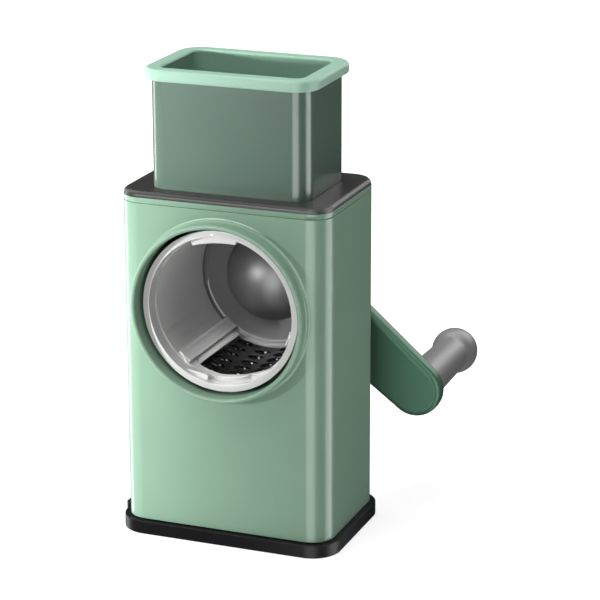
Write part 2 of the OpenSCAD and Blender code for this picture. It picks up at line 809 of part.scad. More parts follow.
module drum_cage() color(drum_grey) difference() {
    union() {
        tube(cage_front, y_plate + seat, drum_bore, drum_r);
        tube(y_plate, y_drum_back, socket_r + fit, drum_r);
        for (a = rib_at_deg)
            arc_wall(cage_front, y_plate + seat, rib_r, drum_bore + seat, a - rib_half_deg, a + rib_half_deg);
        at_axis(y_plate + seat) rotate_extrude() polygon([[drum_bore - corner_in, 0],
            [drum_bore + seat, 0], [drum_bore + seat, corner_in], [drum_bore, corner_in]]);
    }
    for (span = [lower_panel, upper_panel]) {
        arc_wall(panel_front + window_in, panel_back - window_in, rib_r - over, flange_r,
            span[0] + window_in_deg, span[1] - window_in_deg);
        arc_wall(panel_front - seat, panel_back + seat, sheet_r - fit, flange_r,
            span[0] - panel_gap_deg, span[1] + panel_gap_deg);
        rivet_places(span) translate([0, 0, rib_r - over])
            cylinder(h = drum_r - rib_r + over, r = rivet_r + fit);
    }
    socket_places(y_drum_back + over) cylinder(h = plate_back + 2 * over, r = socket_screw_r + fit);
    socket_places(y_drum_back) cylinder(h = socket_head_h, r1 = socket_head_r + fit, r2 = socket_screw_r + fit);
}

// A curved sheet between two angles, with staggered rows of holes, each with a raised tooth on one side.
module grater_panel(span) color(dark_steel) {
    inner = span[0] + tooth_inset_deg;
    pitch = (span[1] - span[0] - 2 * tooth_inset_deg) / (tooth_cols - 1);
    row = (panel_len - 2 * tooth_inset) / (tooth_rows - 1);
    spots = [for (i = [0:tooth_cols - 1], j = [0:tooth_rows - 1]) if (i % 2 == 0 || j < tooth_rows - 1)
        [inner + i * pitch, tooth_inset + (j + (i % 2) / 2) * row]];
    difference() {
        union() {
            arc_wall(panel_front, panel_back, sheet_r, sheet_r + sheet_t, span[0], span[1]);
            for (s = spots) at_axis(panel_back) rotate([0, 0, s[0]]) translate([sheet_r + sheet_t / 2, 0, s[1]])
                rotate([0, 90, 0]) rotate([0, 0, half_turn_deg]) rotate_extrude(angle = half_turn_deg)
                    translate([hole_r - tooth_wall / 2, 0]) square([tooth_wall, sheet_t / 2 + tooth_h]);
        }
        for (s = spots) at_axis(panel_back) rotate([0, 0, s[0]]) translate([sheet_r - over, 0, s[1]])
            rotate([0, 90, 0]) cylinder(h = sheet_t + 2 * over + tooth_h, r = hole_r - tooth_wall / 2);
        rivet_places(span) translate([0, 0, sheet_r - over])
            cylinder(h = sheet_t + 2 * over, r = rivet_r + fit);
    }
}

module grater_panel_lower() grater_panel(lower_panel);
module grater_panel_upper() grater_panel(upper_panel);

module panel_rivets() color(steel) {
    head_z = sheet_r + sheet_t + seat;
    for (span = [lower_panel, upper_panel]) rivet_places(span) {
        translate([0, 0, rib_r + rib_h]) cylinder(h = head_z - rib_r - rib_h + seat, r = rivet_r);
        translate([0, 0, head_z]) cylinder(h = rivet_head_h, r = rivet_head_r);
    }
}

module drum_dome() color(drum_grey) difference() {
    centre_y = y_plate - dome_h + dome_ball;
    intersection() {
        translate([0, centre_y, axis_z]) sphere(dome_ball);
        rod(y_plate - dome_h - over, y_plate, dome_ball);
    }
    translate([0, centre_y, axis_z]) sphere(dome_ball - dome_t);
}

module drive_socket() color(steel) difference() {
    union() {
        rod(y_socket - socket_len, y_socket, socket_r);
        rod(y_plate - socket_foot_t, y_plate, socket_foot_r);
    }
    at_axis(y_socket + over) {
        hole = square_s + 2 * square_gap;
        translate([-hole / 2, -hole / 2, 0]) cube([hole, hole, socket_len + over - socket_sink]);
    }
    socket_places(y_plate + over) cylinder(h = socket_foot_t + 2 * over, r = socket_screw_r + fit);
}

module socket_screws() color(steel) {
    socket_places(y_drum_back) cylinder(h = socket_head_h, r1 = socket_head_r, r2 = socket_screw_r);
    socket_places(y_drum_back - seat) cylinder(h = plate_back + socket_foot_t - 2 * seat, r = socket_screw_r);
}

module base_screws() color(steel) corners() {
    translate([0, 0, z_shell + seat]) cylinder(h = screw_head_h, r = screw_head_r);
    translate([0, 0, z_shell + screw_head_h]) cylinder(h = screw_len, r = screw_r);
}

module deck_screws() color(steel) corners() {
    translate([0, 0, z_ledge - ledge_h - screw_head_h]) cylinder(h = screw_head_h, r = screw_head_r);
    translate([0, 0, z_ledge - ledge_h - seat]) cylinder(h = screw_len + seat, r = screw_r);
}

module rear_screws() color(steel) {
    rear_places(y_rear) cylinder(h = sink_h, r1 = screw_head_r, r2 = screw_r);
    rear_places(y_rear - seat) cylinder(h = wall + rear_depth - 2 * seat, r = screw_r);
}

body_shell();
mouth_ring();
drum_chamber();
top_bezel();
top_plate();
feed_chute();
pusher();
base_plate();
suction_pad();
suction_membrane();
pad_disc();
suction_stem();
lever_shaft();
lever_bushing();
suction_lever();
lever_screw();
lever_cap();
rear_bearing();
shaft_seal();
crank_shaft();
shaft_clip();
crank_arm();
crank_screw();
crank_cap();
knob_axle();
knob_clip();
handle_knob();
drum_front_ring();
drum_cage();
grater_panel_lower();
grater_panel_upper();
panel_rivets();
drum_dome();
drive_socket();
socket_screws();
base_screws();
deck_screws();
rear_screws();
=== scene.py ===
import json
import math

import bmesh
import bpy
from mathutils import Matrix, Vector


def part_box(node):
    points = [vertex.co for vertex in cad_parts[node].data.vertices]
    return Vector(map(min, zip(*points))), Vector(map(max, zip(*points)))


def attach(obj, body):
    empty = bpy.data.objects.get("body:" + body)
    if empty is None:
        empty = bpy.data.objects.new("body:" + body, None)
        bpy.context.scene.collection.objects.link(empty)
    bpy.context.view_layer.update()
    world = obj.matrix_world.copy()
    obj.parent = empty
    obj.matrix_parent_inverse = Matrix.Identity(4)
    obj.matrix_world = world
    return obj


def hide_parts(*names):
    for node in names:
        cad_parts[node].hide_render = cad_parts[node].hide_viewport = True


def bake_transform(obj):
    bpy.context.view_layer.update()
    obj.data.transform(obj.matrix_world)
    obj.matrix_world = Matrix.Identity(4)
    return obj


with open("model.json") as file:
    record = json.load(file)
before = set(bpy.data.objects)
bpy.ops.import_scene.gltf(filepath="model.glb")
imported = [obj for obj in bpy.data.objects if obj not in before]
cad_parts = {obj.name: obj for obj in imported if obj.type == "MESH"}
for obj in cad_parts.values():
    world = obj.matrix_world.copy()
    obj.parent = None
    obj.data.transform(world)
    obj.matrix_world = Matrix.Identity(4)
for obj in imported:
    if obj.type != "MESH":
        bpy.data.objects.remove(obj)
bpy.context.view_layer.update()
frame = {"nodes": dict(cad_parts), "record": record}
nodes = frame["nodes"]
bpy.ops.object.select_all(action="DESELECT")

# A round piece closes on its axis in a ring of radius on_axis, whose points are then merged. Two places closer than
# near count as one when edges are picked.
on_axis, merge, near = 0.000001, 0.000002, 0.00001


# ---- Camera ----
# A camera with a long lens on a stand, 1.3 m from the mouth. It stands to the right of the mouth and above the
# deck, and looks down by 17 degrees.
stand = Vector((0.45691, -1.09556, 0.49032))
turn, tilt, lean = math.radians(21.4145), math.radians(17.4603), math.radians(-0.1484)
backward = Vector((math.sin(turn) * math.cos(tilt), -math.cos(turn) * math.cos(tilt), math.sin(tilt)))
level = (-backward).cross(Vector((0, 0, 1))).normalized()
plumb = level.cross(-backward)
across = math.cos(lean) * level + math.sin(lean) * plumb
upright = math.cos(lean) * plumb - math.sin(lean) * level
lens = bpy.data.cameras.new("long_lens")
lens.lens = 149.46
lens.sensor_width = 36
camera = bpy.data.objects.new("long_lens", lens)
bpy.context.collection.objects.link(camera)
camera.matrix_world = Matrix.Translation(stand) @ Matrix((across, upright, backward)).transposed().to_4x4()
bpy.context.scene.camera = camera


# ---- Housing shell ----
# The upright tube of the body, injection moulded in sage green plastic with a satin, lightly polished skin.
# It stands on the rubber foot and carries the chamber, the deck and the rear bearing.
def moulded_plastic(name, colour, rough, coat=0.0, coat_rough=0.1, grain=0.00002, grain_size=0.0011, shift=0.025,
                    specular=0.5):
    """A moulded plastic, with a faint flow in its colour and gloss and the fine skin of its mould."""
    paint = bpy.data.materials.new(name)
    paint.use_nodes = True
    tree = paint.node_tree
    shader = tree.nodes["Principled BSDF"]
    place = tree.nodes.new("ShaderNodeTexCoord")
    flow = tree.nodes.new("ShaderNodeTexNoise")
    flow.inputs["Scale"].default_value = 24
    flow.inputs["Detail"].default_value = 3
    tree.links.new(place.outputs["Object"], flow.inputs["Vector"])
    tint = tree.nodes.new("ShaderNodeValToRGB")
    low, high = tint.color_ramp.elements
    low.position, high.position = 0.3, 0.7
    low.color = [c * (1 - shift) for c in colour] + [1]
    high.color = [min(1, c * (1 + shift)) for c in colour] + [1]
    tree.links.new(flow.outputs["Fac"], tint.inputs["Fac"])
    tree.links.new(tint.outputs["Color"], shader.inputs["Base Color"])
    skin = tree.nodes.new("ShaderNodeTexNoise")
    skin.inputs["Scale"].default_value = 1 / grain_size
    skin.inputs["Detail"].default_value = 2
    tree.links.new(place.outputs["Object"], skin.inputs["Vector"])
    gloss = tree.nodes.new("ShaderNodeMapRange")
    gloss.inputs["To Min"].default_value = rough * 0.92
    gloss.inputs["To Max"].default_value = min(1, rough * 1.1)
    tree.links.new(skin.outputs["Fac"], gloss.inputs["Value"])
    tree.links.new(gloss.outputs["Result"], shader.inputs["Roughness"])
    relief = tree.nodes.new("ShaderNodeBump")
    relief.inputs["Strength"].default_value = 0.3
    relief.inputs["Distance"].default_value = grain
    tree.links.new(skin.outputs["Fac"], relief.inputs["Height"])
    tree.links.new(relief.outputs["Normal"], shader.inputs["Normal"])
    shader.inputs["Coat Weight"].default_value = coat
    shader.inputs["Coat Roughness"].default_value = coat_rough
    shader.inputs["Specular IOR Level"].default_value = specular
    return paint


def dress(piece, *paints):
    """Gives the piece its paints, in the order of its face groups."""
    piece.data.materials.clear()
    for paint in paints:
        piece.data.materials.append(paint)


def take_up(piece):
    """Makes the piece the only one in hand."""
    bpy.ops.object.select_all(action="DESELECT")
    piece.select_set(True)
    bpy.context.view_layer.objects.active = piece


def polish(piece, angle=35):
    """Smooth round faces, flat faces kept flat, and crisp edges where the faces turn by more than the angle."""
    take_up(piece)
    bpy.ops.object.shade_smooth_by_angle(angle=math.radians(angle))
    even = piece.modifiers.new("even", "WEIGHTED_NORMAL")
    even.keep_sharp = True
    bpy.ops.object.modifier_apply(modifier="even")
    piece.select_set(False)


def stand_in_for(piece, *names):
    """The piece moves with the body of the first node named, and is shown in place of all of them."""
    for body, group in frame["record"]["behaviour"]["bodies"].items():
        if names[0] in group:
            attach(piece, body)
    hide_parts(*names)


def softened(node, edge, steps=2, limit=50):
    """The node's own shape, with the small radius that its mould or tool leaves on each edge."""
    piece = bpy.data.objects.new(node + "_finished", nodes[node].data.copy())
    bpy.context.collection.objects.link(piece)
    take_up(piece)
    bpy.ops.object.mode_set(mode="EDIT")
    bpy.ops.mesh.select_all(action="SELECT")
    bpy.ops.mesh.remove_doubles(threshold=merge)
    bpy.ops.mesh.dissolve_limited(angle_limit=math.radians(0.4))
    bpy.ops.object.mode_set(mode="OBJECT")
    radius = piece.modifiers.new("edges", "BEVEL")
    radius.width = edge
    radius.segments = steps
    radius.limit_method = "ANGLE"
    radius.angle_limit = math.radians(limit)
    bpy.ops.object.modifier_apply(modifier="edges")
    polish(piece)
    stand_in_for(piece, node)
    return piece


sage = moulded_plastic("sage_housing_plastic", (0.190, 0.302, 0.222), rough=0.24, specular=0.2)
shell = softened("body_shell", edge=0.0005, steps=3)
dress(shell, sage)


# ---- Chamber and mouth collar ----
# The fixed barrel round the drum, and the raised collar that is pressed into it from the front through the mouth.
# Both are moulded in the same sage plastic; the collar has a round lip and a small fillet at its foot.
def turned(name, centre, rings, steps=128, along="Y"):
    """A round piece drawn out ring by ring along an axis. Each ring has a radius and a place along the axis."""
    at = "XYZ".index(along)

    def point(depth):
        place = list(centre)
        place.insert(at, depth)
        return place

    radius, depth = rings[0]
    bpy.ops.object.select_all(action="DESELECT")
    bpy.ops.mesh.primitive_circle_add(vertices=steps, radius=radius, location=point(depth), enter_editmode=True,
                                      rotation=((0, math.pi / 2, 0), (math.pi / 2, 0, 0), (0, 0, 0))[at])
    piece = bpy.context.object
    piece.name = name
    for r, y in rings[1:]:
        move = [0, 0, 0]
        move[at] = y - depth
        bpy.ops.mesh.extrude_region_move(TRANSFORM_OT_translate={"value": move})
        grow = r / radius
        bpy.ops.transform.resize(value=(grow, grow, grow), center_override=point(y))
        radius, depth = r, y
    bpy.ops.mesh.select_all(action="SELECT")
    bpy.ops.mesh.remove_doubles(threshold=merge)
    bpy.ops.mesh.normals_make_consistent(inside=False)
    bpy.ops.object.mode_set(mode="OBJECT")
    bpy.ops.object.transform_apply(location=True, rotation=True, scale=True)
    piece.select_set(False)
    return piece


def bend(centre, radius, start, end, steps):
    """Points of an arc as radius and place, from one angle to another, in degrees from the outward direction."""
    turns = [math.radians(start + (end - start) * i / steps) for i in range(steps + 1)]
    return [(centre[0] + radius * math.cos(t), centre[1] + radius * math.sin(t)) for t in turns]


axis_z = (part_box("mouth_ring")[0].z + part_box("mouth_ring")[1].z) / 2
axis = (0, axis_z)
face_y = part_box("body_shell")[0].y
collar_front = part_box("mouth_ring")[0].y
collar_out = (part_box("mouth_ring")[1].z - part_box("mouth_ring")[0].z) / 2
collar_wall, collar_in = 0.0022, 0.0002
collar_bore = collar_out - collar_wall
collar_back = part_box("mouth_ring")[1].y
bead = collar_wall / 2
foot = 0.0018
rings = bend((collar_bore + bead, collar_front + bead), bead, 180, 360, 12)
rings += [(collar_out, face_y - foot)]
rings += bend((collar_out + foot, face_y - foot), foot, 180, 90, 6)
rings += [(collar_out + foot, face_y + collar_in), (collar_bore + bead, face_y + collar_in)]
rings += [(collar_bore + bead, collar_back), (collar_bore, collar_back)]
rings += [rings[0]]
collar = turned("mouth_collar", axis, rings, steps=160)
polish(collar)
dress(collar, sage)
stand_in_for(collar, "mouth_ring")
dress(nodes["drum_chamber"], sage)


# ---- Light frame and deck ----
# A green frame lies on the shell's top edge with a fine seam cut round it, and a charcoal deck lies on the frame.
# Four posts under the deck go through the frame to the corner screws. The deck's upper edge is rounded.
def block(name, low, high):
    """An upright block between two corners."""
    middle = [(a + b) / 2 for a, b in zip(low, high)]
    bpy.ops.object.select_all(action="DESELECT")
    bpy.ops.mesh.primitive_cube_add(size=1, location=middle, scale=[b - a for a, b in zip(low, high)])
    piece = bpy.context.object
    piece.name = name
    bpy.ops.object.transform_apply(location=True, rotation=True, scale=True)
    piece.select_set(False)
    return piece


def round_over(piece, radius, steps, chosen):
    """Rounds the edges whose two ends both pass the test."""
    take_up(piece)
    bpy.ops.object.mode_set(mode="EDIT")
    bpy.ops.mesh.select_mode(type="EDGE")
    bpy.ops.mesh.select_all(action="DESELECT")
    shape = bmesh.from_edit_mesh(piece.data)
    for edge in shape.edges:
        a, b = edge.verts[0].co, edge.verts[1].co
        if chosen(a, b):
            edge.select_set(True)
    bmesh.update_edit_mesh(piece.data)
    bpy.ops.mesh.bevel(offset=radius, segments=steps, affect="EDGES", clamp_overlap=False)
    bpy.ops.object.mode_set(mode="OBJECT")
    piece.select_set(False)


def upright_edges(a, b):
    return abs(a.x - b.x) < near and abs(a.y - b.y) < near


def at_height(z):
    """A test for the edges that lie at one height."""
    return lambda a, b: abs(a.z - z) < near and abs(b.z - z) < near


def rounded_block(name, low, high, corner, steps=14):
    """A block with rounded upright corners."""
    piece = block(name, low, high)
    round_over(piece, corner, steps, upright_edges)
    return piece


def work_with(piece, tool, way):
    """Cuts the tool out of the piece, or joins the two, and clears the tool away."""
    take_up(piece)
    act = piece.modifiers.new(way.lower(), "BOOLEAN")
    act.operation = way
    act.object = tool
    act.solver = "EXACT"
    bpy.ops.object.modifier_apply(modifier=way.lower())
    bpy.data.objects.remove(tool)
    piece.select_set(False)


light_frame = softened("top_bezel", edge=0.0002, steps=2)
seam_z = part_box("body_shell")[1].z
seam_gap, seam_deep, seam_under = 0.0004, 0.0009, 0.0001
belt_out, belt_corner, core_corner = 0.01, 0.02, 0.0098
frame_low, frame_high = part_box("top_bezel")
belt = rounded_block("seam_belt", (frame_low.x - belt_out, frame_low.y - belt_out, seam_z - seam_under),
                     (frame_high.x + belt_out, frame_high.y + belt_out, seam_z + seam_gap), belt_corner)
core = rounded_block("seam_core", (frame_low.x + seam_deep, frame_low.y + seam_deep, seam_z - belt_out),
                     (frame_high.x - seam_deep, frame_high.y - seam_deep, seam_z + belt_out), core_corner)
work_with(belt, core, "DIFFERENCE")
work_with(light_frame, belt, "DIFFERENCE")
polish(light_frame)
dress(light_frame, sage)
charcoal = moulded_plastic("charcoal_plastic", (0.026, 0.026, 0.025), rough=0.42, grain=0.00003, specular=0.25)
chute_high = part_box("feed_chute")[1]
foot_out = 0.003
chute_x, chute_y = chute_high.x - foot_out, chute_high.y - foot_out
chute_corner = 0.009
deck_low, deck_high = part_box("top_plate")
deck_t = 0.003
deck_under = deck_high.z - deck_t
deck_corner, deck_edge = 0.0113, 0.0022
deck = rounded_block("deck_plate", (deck_low.x, deck_low.y, deck_under), deck_high, deck_corner)
round_over(deck, deck_edge, 6, at_height(deck_high.z))
deck_gap, well_past, well_edge = 0.0001, 0.01, 0.0003
well = rounded_block("deck_well", (-chute_x - deck_gap, -chute_y - deck_gap, deck_under - well_past),
                     (chute_x + deck_gap, chute_y + deck_gap, deck_high.z + well_past), chute_corner)
work_with(deck, well, "DIFFERENCE")
post_x, post_y, post_r, post_bore, post_into = 0.0475, 0.0287, 0.0033, 0.00152, 0.001
post_low, post_top = deck_low.z, deck_under + post_into
for x, y in ((-1, -1), (1, -1), (-1, 1), (1, 1)):
    post = turned("deck_post", (x * post_x, y * post_y),
                  [(post_bore, post_low), (post_r, post_low), (post_r, post_top), (post_bore, post_top),
                   (post_bore, post_low)], steps=32, along="Z")
    work_with(deck, post, "UNION")
round_over(deck, well_edge, 2, lambda a, b: at_height(deck_high.z)(a, b)
           and max(abs(a.x), abs(b.x)) < chute_x + 2 * deck_gap and max(abs(a.y), abs(b.y)) < chute_y + 2 * deck_gap)
polish(deck)
dress(deck, charcoal)
stand_in_for(deck, "top_plate")


# ---- Feed chute ----
# A rectangular tube, moulded in a darker grey green plastic with a polished skin. Its foot flange is held
# between the deck and the frame, and it leads straight down into the chamber's throat.
smoke = moulded_plastic("grey_green_plastic", (0.095, 0.145, 0.115), rough=0.2, grain=0.00001, specular=0.3)
chute = softened("feed_chute", edge=0.0004)
dress(chute, smoke)


# ---- Pusher ----
# A hollow pusher in matt mint plastic that slides in the chute. Its thick rim is rounded all round and rests on
# the chute's top edge, and its sole is hollowed to fit over the drum.
push_low, rim_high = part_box("pusher")
rim_height, rim_edge, rim_low_edge = 0.0056, 0.002, 0.001
rim_low = Vector((-rim_high.x, -rim_high.y, rim_high.z - rim_height))
rim_out = 0.0035
rim_corner = chute_corner + rim_out
push_in, mouth_edge, mouth_in = 0.0027, 0.0014, 0.001
push_x, push_y = chute_x - push_in, chute_y - push_in
push_corner, push_wall, push_floor = 0.0063, 0.002, 0.002
drum_r, sole_room, sole_reach = 0.0392, 0.0036, 0.04
sole_r = drum_r + sole_room
pusher = rounded_block("food_pusher", rim_low, rim_high, rim_corner, steps=18)
round_over(pusher, rim_edge, 6, at_height(rim_high.z))
round_over(pusher, rim_low_edge, 4, at_height(rim_low.z))
stem_block = rounded_block("pusher_body", (-push_x, -push_y, push_low.z), (push_x, push_y, rim_high.z - rim_edge),
                           push_corner)
work_with(pusher, stem_block, "UNION")
sole = turned("pusher_sole", axis, [(on_axis, -sole_reach), (sole_r, -sole_reach), (sole_r, sole_reach),
                                      (on_axis, sole_reach)])
work_with(pusher, sole, "DIFFERENCE")
hollow = rounded_block("pusher_hollow", (-push_x + push_wall, -push_y + push_wall, push_low.z + push_floor),
                       (push_x - push_wall, push_y - push_wall, rim_high.z + well_past), push_corner - push_wall)
saddle = turned("pusher_saddle", axis, [(on_axis, -sole_reach), (sole_r + push_floor, -sole_reach),
                                        (sole_r + push_floor, sole_reach), (on_axis, sole_reach)])
work_with(hollow, saddle, "DIFFERENCE")
work_with(pusher, hollow, "DIFFERENCE")
round_over(pusher, mouth_edge, 5, lambda a, b: at_height(rim_high.z)(a, b)
           and max(abs(a.x), abs(b.x)) < push_x - mouth_in and max(abs(a.y), abs(b.y)) < push_y - mouth_in)
polish(pusher)
mint = moulded_plastic("mint_plastic", (0.29, 0.465, 0.362), rough=0.4, specular=0.12)
dress(pusher, mint)
stand_in_for(pusher, "pusher")


# ---- Rubber foot ----
# A soft black rubber foot under the whole base, with a release tab at the left and four plugs that snap through
# the base plate. It is moulded in one piece, and its thin middle is drawn up by the disc to make the vacuum.
rubber = moulded_plastic("black_rubber", (0.006, 0.006, 0.0065), rough=0.45, grain=0.00005, grain_size=0.0008,
                         specular=0.1)
foot_pad = softened("suction_pad", edge=0.0008, steps=4)
dress(foot_pad, rubber)
membrane_low, membrane_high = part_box("suction_membrane")
skin_t, rim_r, disc_r, slope_steps = 0.0018, membrane_high.x, 0.01202, 12
rise = membrane_high.z - membrane_low.z - skin_t
slope = [(rim_r + (disc_r - rim_r) * i / slope_steps,
          membrane_low.z + rise * (0.5 - 0.5 * math.cos(math.pi * i / slope_steps)))
         for i in range(slope_steps + 1)]
membrane = turned("foot_membrane", (0, 0), slope + [(r, z + skin_t) for r, z in reversed(slope)] + slope[:1],
                  steps=72, along="Z")
polish(membrane, angle=50)
dress(membrane, rubber)
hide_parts("suction_membrane")
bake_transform(membrane)
black_plastic = moulded_plastic("black_plastic", (0.016, 0.016, 0.017), rough=0.38, grain=0.00004)
floor_plate = softened("base_plate", edge=0.0004)
lift_disc = softened("pad_disc", edge=0.0003)
for piece in (floor_plate, lift_disc):
    dress(piece, black_plastic)


# ---- Suction lever ----
# A short grey lever on the left side, pressed on the square of its steel shaft and held by a screw under a snap
# cap. Half a turn draws the rubber up. Three short nicks in the middle of its tip give the thumb a grip.
reed = moulded_plastic("grey_green_lever_plastic", (0.37, 0.43, 0.41), rough=0.34, coat=0.1, coat_rough=0.2)
lever = softened("suction_lever", edge=0.0006, steps=3)
lever_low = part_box("suction_lever")[0]
groove_r, groove_len, groove_first, groove_step = 0.0009, 0.0135, 0.0045, 0.003
face_slope, face_start = 0.14, 0.0012
for i in range(3):
    up = groove_first + groove_step * i
    bpy.ops.object.select_all(action="DESELECT")
    bpy.ops.mesh.primitive_cylinder_add(vertices=24, radius=groove_r, depth=groove_len, rotation=(math.pi / 2, 0, 0),
                                        location=(lever_low.x + face_slope * (up - face_start), 0, lever_low.z + up))
    groove = bpy.context.object
    groove.name = "grip_groove"
    bpy.ops.object.transform_apply(location=True, rotation=True, scale=True)
    work_with(lever, groove, "DIFFERENCE")
polish(lever)
dress(lever, reed)
cap_low, cap_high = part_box("lever_cap")
cap_r, cap_round = (cap_high.z - cap_low.z) / 2, 0.0004
lever_axis = (0, (cap_high.z + cap_low.z) / 2)
lever_cap = turned("lever_screw_cap", lever_axis, [(on_axis, cap_high.x), (cap_r, cap_high.x)]
                   + [(cap_r - cap_round + r, cap_low.x + cap_round - x) for r, x in bend((0, 0), cap_round, 0, 90, 4)]
                   + [(on_axis, cap_low.x)], steps=64, along="X")
polish(lever_cap)
dress(lever_cap, reed)
stand_in_for(lever_cap, "lever_cap")
bush = softened("lever_bushing", edge=0.0004)
dress(bush, black_plastic)


# ---- Steel of the drive ----
# The crank shaft, the suction rod and its eccentric shaft, clips and screws. They are turned or pressed in bright
# zinc plated steel, with the fine rings that the lathe leaves.
def turned_steel(name, colour, rough, ring_size=0.0004, relief_depth=0.00001, metal=1):
    """Plated steel with fine turning marks and slight differences in its gloss."""
    paint = bpy.data.materials.new(name)
    paint.use_nodes = True
    tree = paint.node_tree
    shader = tree.nodes["Principled BSDF"]
    place = tree.nodes.new("ShaderNodeTexCoord")
    cloud = tree.nodes.new("ShaderNodeTexNoise")
    cloud.inputs["Scale"].default_value = 180
    cloud.inputs["Detail"].default_value = 4
    tree.links.new(place.outputs["Object"], cloud.inputs["Vector"])
    tint = tree.nodes.new("ShaderNodeValToRGB")
    low, high = tint.color_ramp.elements
    low.position, high.position = 0.32, 0.68
    low.color = [c * 0.9 for c in colour] + [1]
    high.color = [min(1, c * 1.06) for c in colour] + [1]
    tree.links.new(cloud.outputs["Fac"], tint.inputs["Fac"])
    tree.links.new(tint.outputs["Color"], shader.inputs["Base Color"])
    gloss = tree.nodes.new("ShaderNodeMapRange")
    gloss.inputs["To Min"].default_value = rough * 0.8
    gloss.inputs["To Max"].default_value = rough * 1.25
    tree.links.new(cloud.outputs["Fac"], gloss.inputs["Value"])
    tree.links.new(gloss.outputs["Result"], shader.inputs["Roughness"])
    marks = tree.nodes.new("ShaderNodeTexNoise")
    marks.inputs["Scale"].default_value = 1 / ring_size
    tree.links.new(place.outputs["Object"], marks.inputs["Vector"])
    relief = tree.nodes.new("ShaderNodeBump")
    relief.inputs["Strength"].default_value = 0.4
    relief.inputs["Distance"].default_value = relief_depth
    tree.links.new(marks.outputs["Fac"], relief.inputs["Height"])
    tree.links.new(relief.outputs["Normal"], shader.inputs["Normal"])
    shader.inputs["Metallic"].default_value = metal
    return paint


zinc = turned_steel("zinc_plated_steel", (0.60, 0.60, 0.61), rough=0.28)
spring_steel = turned_steel("spring_steel", (0.30, 0.30, 0.31), rough=0.35)
for name in ("suction_stem", "lever_shaft", "crank_shaft", "knob_axle"):
    dress(softened(name, edge=0.0003), zinc)
for name in ("lever_screw", "crank_screw", "base_screws", "deck_screws"):
    dress(nodes[name], zinc)
for name in ("shaft_clip", "knob_clip"):
    dress(nodes[name], spring_steel)


# ---- Rear bearing, seal and rear screws ----
# A flanged black bush is pressed into the back wall and holds the shaft, with a rubber seal in its front end.
# Four cross head screws round it go through the wall into the chamber's bosses.
bearing = softened("rear_bearing", edge=0.0005, steps=3)
dress(bearing, black_plastic)
seal = softened("shaft_seal", edge=0.0002)
dress(seal, rubber)


def cross_screw(name, place, head_r, head_h, shank_r, end_y):
    """A countersunk screw along Y with its head at the back, and a cross for the driver in it. The points at its tip
    are merged once more, so that the cuts find a clean shape."""
    x, y, z = place
    screw = turned(name, (x, z), [(on_axis, end_y), (shank_r * 0.6, end_y), (shank_r, end_y + shank_r * 0.6),
                                  (shank_r, y - head_h), (head_r - 0.0001, y - 0.0001), (head_r - 0.0002, y),
                                  (on_axis, y)], steps=32)
    take_up(screw)
    bpy.ops.object.mode_set(mode="EDIT")
    bpy.ops.mesh.select_all(action="SELECT")
    bpy.ops.mesh.remove_doubles(threshold=merge)
    bpy.ops.object.mode_set(mode="OBJECT")
    cross = (head_r * 1.15, head_h * 1.2, head_r * 0.24)
    for turn_deg in (20, 110):
        bpy.ops.object.select_all(action="DESELECT")
        bpy.ops.mesh.primitive_cube_add(size=1, location=(x, y, z), scale=cross,
                                        rotation=(0, math.radians(turn_deg), 0))
        slot = bpy.context.object
        bpy.ops.object.transform_apply(location=True, rotation=True, scale=True)
        work_with(screw, slot, "DIFFERENCE")
    return screw


def set_of(name, first, moves):
    """Copies of the first piece, each moved from its place, all joined into one piece."""
    group = [first]
    for move in moves:
        take_up(first)
        bpy.ops.object.duplicate()
        bpy.ops.transform.translate(value=move)
        bpy.ops.object.transform_apply(location=True, rotation=True, scale=True)
        group.append(bpy.context.object)
    bpy.ops.object.select_all(action="DESELECT")
    for piece in group:
        piece.select_set(True)
    bpy.context.view_layer.objects.active = first
    bpy.ops.object.join()
    first.name = name
    polish(first)
    return first


back_y, head_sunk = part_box("body_shell")[1].y, 0.00002
bolt_in = 0.0491 * math.sqrt(0.5)
rear_screw = cross_screw("rear_screw", (bolt_in, back_y - head_sunk, axis_z + bolt_in), head_r=0.0028, head_h=0.0014,
                         shank_r=0.0015, end_y=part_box("rear_screws")[0].y)
rear_set = set_of("rear_screw_set", rear_screw, [(-2 * bolt_in, 0, 0), (0, 0, -2 * bolt_in),
                                                (-2 * bolt_in, 0, -2 * bolt_in)])
dress(rear_set, zinc)
stand_in_for(rear_set, "rear_screws")


# ---- Crank arm ----
# A flat tapered arm, moulded in deep green glass filled plastic with well rounded edges. A square hole in its hub
# sits on the shaft, and a boss round it holds the screw and a press-in cap.
arm_front, arm_back = 0.0430, 0.0526
arm_root_r, arm_edge = 0.018, 0.0032
recess_r, recess_floor, recess_past = 0.00604, 0.0500, 0.06
square, square_deep, square_mid = 0.0081, 0.0094, 0.0435
hub_front, hub_back, hub_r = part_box("crank_arm")[0].y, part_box("crank_arm")[1].y, 0.011
knob_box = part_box("handle_knob")
knob_x, knob_z = (knob_box[0].x + knob_box[1].x) / 2, (knob_box[0].z + knob_box[1].z) / 2
arm_tip_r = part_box("crank_arm")[1].x - knob_x
bpy.ops.object.select_all(action="DESELECT")
bpy.ops.mesh.primitive_cylinder_add(vertices=96, radius=arm_root_r, depth=arm_back - arm_front,
                                    location=(0, (arm_front + arm_back) / 2, axis_z), rotation=(math.pi / 2, 0, 0),
                                    enter_editmode=True)
arm = bpy.context.object
arm.name = "crank_arm_finished"
bpy.ops.mesh.primitive_cylinder_add(vertices=96, radius=arm_tip_r, depth=arm_back - arm_front,
                                    location=(knob_x, (arm_front + arm_back) / 2, knob_z),
                                    rotation=(math.pi / 2, 0, 0))
bpy.ops.mesh.select_all(action="SELECT")
bpy.ops.mesh.convex_hull()
bpy.ops.mesh.select_all(action="SELECT")
bpy.ops.mesh.dissolve_limited(angle_limit=math.radians(0.3))
bpy.ops.object.mode_set(mode="OBJECT")
